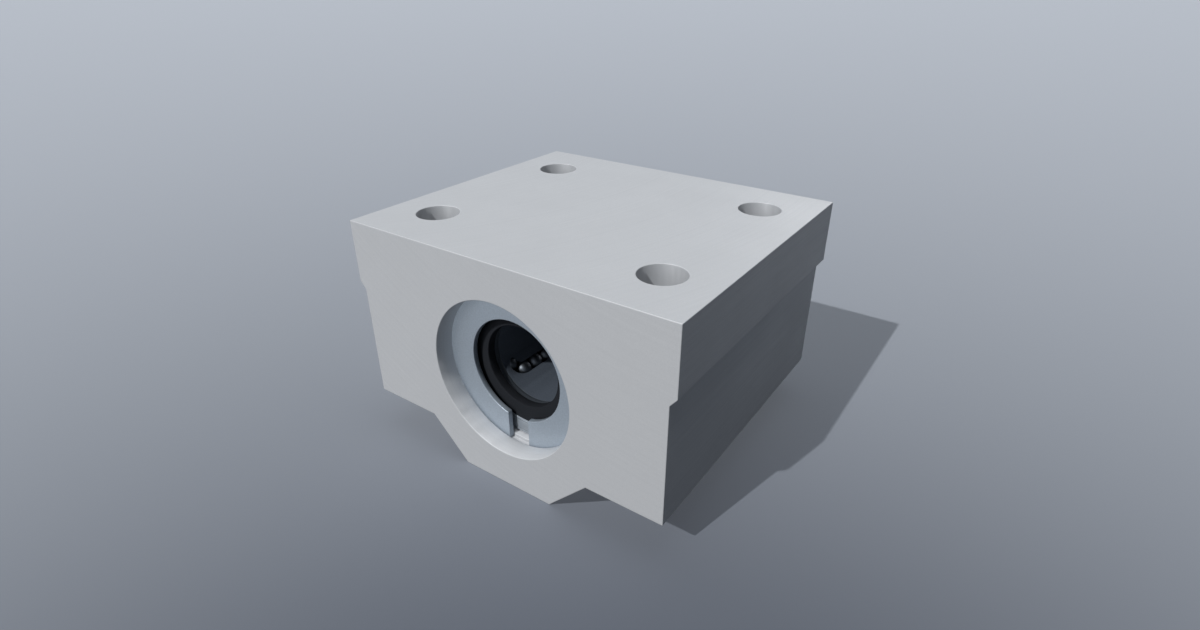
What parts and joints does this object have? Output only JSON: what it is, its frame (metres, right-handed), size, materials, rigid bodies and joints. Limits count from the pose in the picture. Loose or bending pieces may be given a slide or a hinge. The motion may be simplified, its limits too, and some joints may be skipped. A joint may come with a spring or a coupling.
{
  "type": "linear bearing block",
  "caption": "Aluminium pillow block with a recirculating ball bearing for an 8 mm shaft, kept in by C-shaped rings, and threaded holes in its flat mounting face.",
  "frame": {"origin": "on the axis of the shaft bore, half way along it, which is the centre of the whole block", "axes": "+Y along the shaft from the front to the rear, +Z towards the mounting face with its four threaded holes, X across the block"},
  "size_m": [0.034, 0.03, 0.022],
  "materials": {
    "anodised_block": "satin",
    "spring_steel": "satin",
    "ground_steel": "ground",
    "ball_steel": "polished",
    "cage_resin": "matt",
    "seal_rubber": "matt"
  },
  "bodies": {
    "block": {"housing": "anodised_block", "front_circlip": "spring_steel", "rear_circlip": "spring_steel", "outer_sleeve": "ground_steel", "ball_cage": "cage_resin", "front_seal": "seal_rubber", "rear_seal": "seal_rubber", "front_end_ring": "spring_steel", "rear_end_ring": "spring_steel"},
    "upper_right_load_balls": {"upper_right_load_balls": "ball_steel"},
    "upper_right_rear_turn_balls": {"upper_right_rear_turn_balls": "ball_steel"},
    "upper_right_return_balls": {"upper_right_return_balls": "ball_steel"},
    "upper_right_front_turn_balls": {"upper_right_front_turn_balls": "ball_steel"},
    "lower_right_load_balls": {"lower_right_load_balls": "ball_steel"},
    "lower_right_rear_turn_balls": {"lower_right_rear_turn_balls": "ball_steel"},
    "lower_right_return_balls": {"lower_right_return_balls": "ball_steel"},
    "lower_right_front_turn_balls": {"lower_right_front_turn_balls": "ball_steel"},
    "lower_left_load_balls": {"lower_left_load_balls": "ball_steel"},
    "lower_left_rear_turn_balls": {"lower_left_rear_turn_balls": "ball_steel"},
    "lower_left_return_balls": {"lower_left_return_balls": "ball_steel"},
    "lower_left_front_turn_balls": {"lower_left_front_turn_balls": "ball_steel"},
    "upper_left_load_balls": {"upper_left_load_balls": "ball_steel"},
    "upper_left_rear_turn_balls": {"upper_left_rear_turn_balls": "ball_steel"},
    "upper_left_return_balls": {"upper_left_return_balls": "ball_steel"},
    "upper_left_front_turn_balls": {"upper_left_front_turn_balls": "ball_steel"}
  },
  "joints": [
    {"name": "upper_right_load_row_travel", "type": "slide", "parent": "block", "child": "upper_right_load_balls", "axis": [0, 1, 0], "range_m": [0, 0.00162]},
    {"name": "upper_right_return_row_travel", "type": "slide", "parent": "block", "child": "upper_right_return_balls", "axis": [0, -1, 0], "range_m": [0, 0.00162]},
    {"name": "upper_right_rear_turn_swing", "type": "hinge", "parent": "block", "child": "upper_right_rear_turn_balls", "pos_m": [0.0042, 0.0081, 0.00258], "axis": [-0.7071, 0, -0.7071], "range_deg": [0, 90]},
    {"name": "upper_right_front_turn_swing", "type": "hinge", "parent": "block", "child": "upper_right_front_turn_balls", "pos_m": [0.0042, -0.0081, 0.00258], "axis": [-0.7071, 0, -0.7071], "range_deg": [0, 90]},
    {"name": "lower_right_load_row_travel", "type": "slide", "parent": "block", "child": "lower_right_load_balls", "axis": [0, 1, 0], "range_m": [0, 0.00162]},
    {"name": "lower_right_return_row_travel", "type": "slide", "parent": "block", "child": "lower_right_return_balls", "axis": [0, -1, 0], "range_m": [0, 0.00162]},
    {"name": "lower_right_rear_turn_swing", "type": "hinge", "parent": "block", "child": "lower_right_rear_turn_balls", "pos_m": [0.00258, 0.0081, -0.0042], "axis": [-0.7071, 0, 0.7071], "range_deg": [0, 90]},
    {"name": "lower_right_front_turn_swing", "type": "hinge", "parent": "block", "child": "lower_right_front_turn_balls", "pos_m": [0.00258, -0.0081, -0.0042], "axis": [-0.7071, 0, 0.7071], "range_deg": [0, 90]},
    {"name": "lower_left_load_row_travel", "type": "slide", "parent": "block", "child": "lower_left_load_balls", "axis": [0, 1, 0], "range_m": [0, 0.00162]},
    {"name": "lower_left_return_row_travel", "type": "slide", "parent": "block", "child": "lower_left_return_balls", "axis": [0, -1, 0], "range_m": [0, 0.00162]},
    {"name": "lower_left_rear_turn_swing", "type": "hinge", "parent": "block", "child": "lower_left_rear_turn_balls", "pos_m": [-0.0042, 0.0081, -0.00258], "axis": [0.7071, 0, 0.7071], "range_deg": [0, 90]},
    {"name": "lower_left_front_turn_swing", "type": "hinge", "parent": "block", "child": "lower_left_front_turn_balls", "pos_m": [-0.0042, -0.0081, -0.00258], "axis": [0.7071, 0, 0.7071], "range_deg": [0, 90]},
    {"name": "upper_left_load_row_travel", "type": "slide", "parent": "block", "child": "upper_left_load_balls", "axis": [0, 1, 0], "range_m": [0, 0.00162]},
    {"name": "upper_left_return_row_travel", "type": "slide", "parent": "block", "child": "upper_left_return_balls", "axis": [0, -1, 0], "range_m": [0, 0.00162]},
    {"name": "upper_left_rear_turn_swing", "type": "hinge", "parent": "block", "child": "upper_left_rear_turn_balls", "pos_m": [-0.00258, 0.0081, 0.0042], "axis": [0.7071, 0, -0.7071], "range_deg": [0, 90]},
    {"name": "upper_left_front_turn_swing", "type": "hinge", "parent": "block", "child": "upper_left_front_turn_balls", "pos_m": [-0.00258, -0.0081, 0.0042], "axis": [0.7071, 0, -0.7071], "range_deg": [0, 90]}
  ],
  "couplings": [
    {"joint": "upper_right_return_row_travel", "follows": "upper_right_load_row_travel", "ratio": 1},
    {"joint": "upper_right_rear_turn_swing", "follows": "upper_right_load_row_travel", "rad_per_m": 969.63},
    {"joint": "upper_right_front_turn_swing", "follows": "upper_right_load_row_travel", "rad_per_m": 969.63},
    {"joint": "lower_right_return_row_travel", "follows": "lower_right_load_row_travel", "ratio": 1},
    {"joint": "lower_right_rear_turn_swing", "follows": "lower_right_load_row_travel", "rad_per_m": 969.63},
    {"joint": "lower_right_front_turn_swing", "follows": "lower_right_load_row_travel", "rad_per_m": 969.63},
    {"joint": "lower_left_return_row_travel", "follows": "lower_left_load_row_travel", "ratio": 1},
    {"joint": "lower_left_rear_turn_swing", "follows": "lower_left_load_row_travel", "rad_per_m": 969.63},
    {"joint": "lower_left_front_turn_swing", "follows": "lower_left_load_row_travel", "rad_per_m": 969.63},
    {"joint": "upper_left_return_row_travel", "follows": "upper_left_load_row_travel", "ratio": 1},
    {"joint": "upper_left_rear_turn_swing", "follows": "upper_left_load_row_travel", "rad_per_m": 969.63},
    {"joint": "upper_left_front_turn_swing", "follows": "upper_left_load_row_travel", "rad_per_m": 969.63}
  ]
}
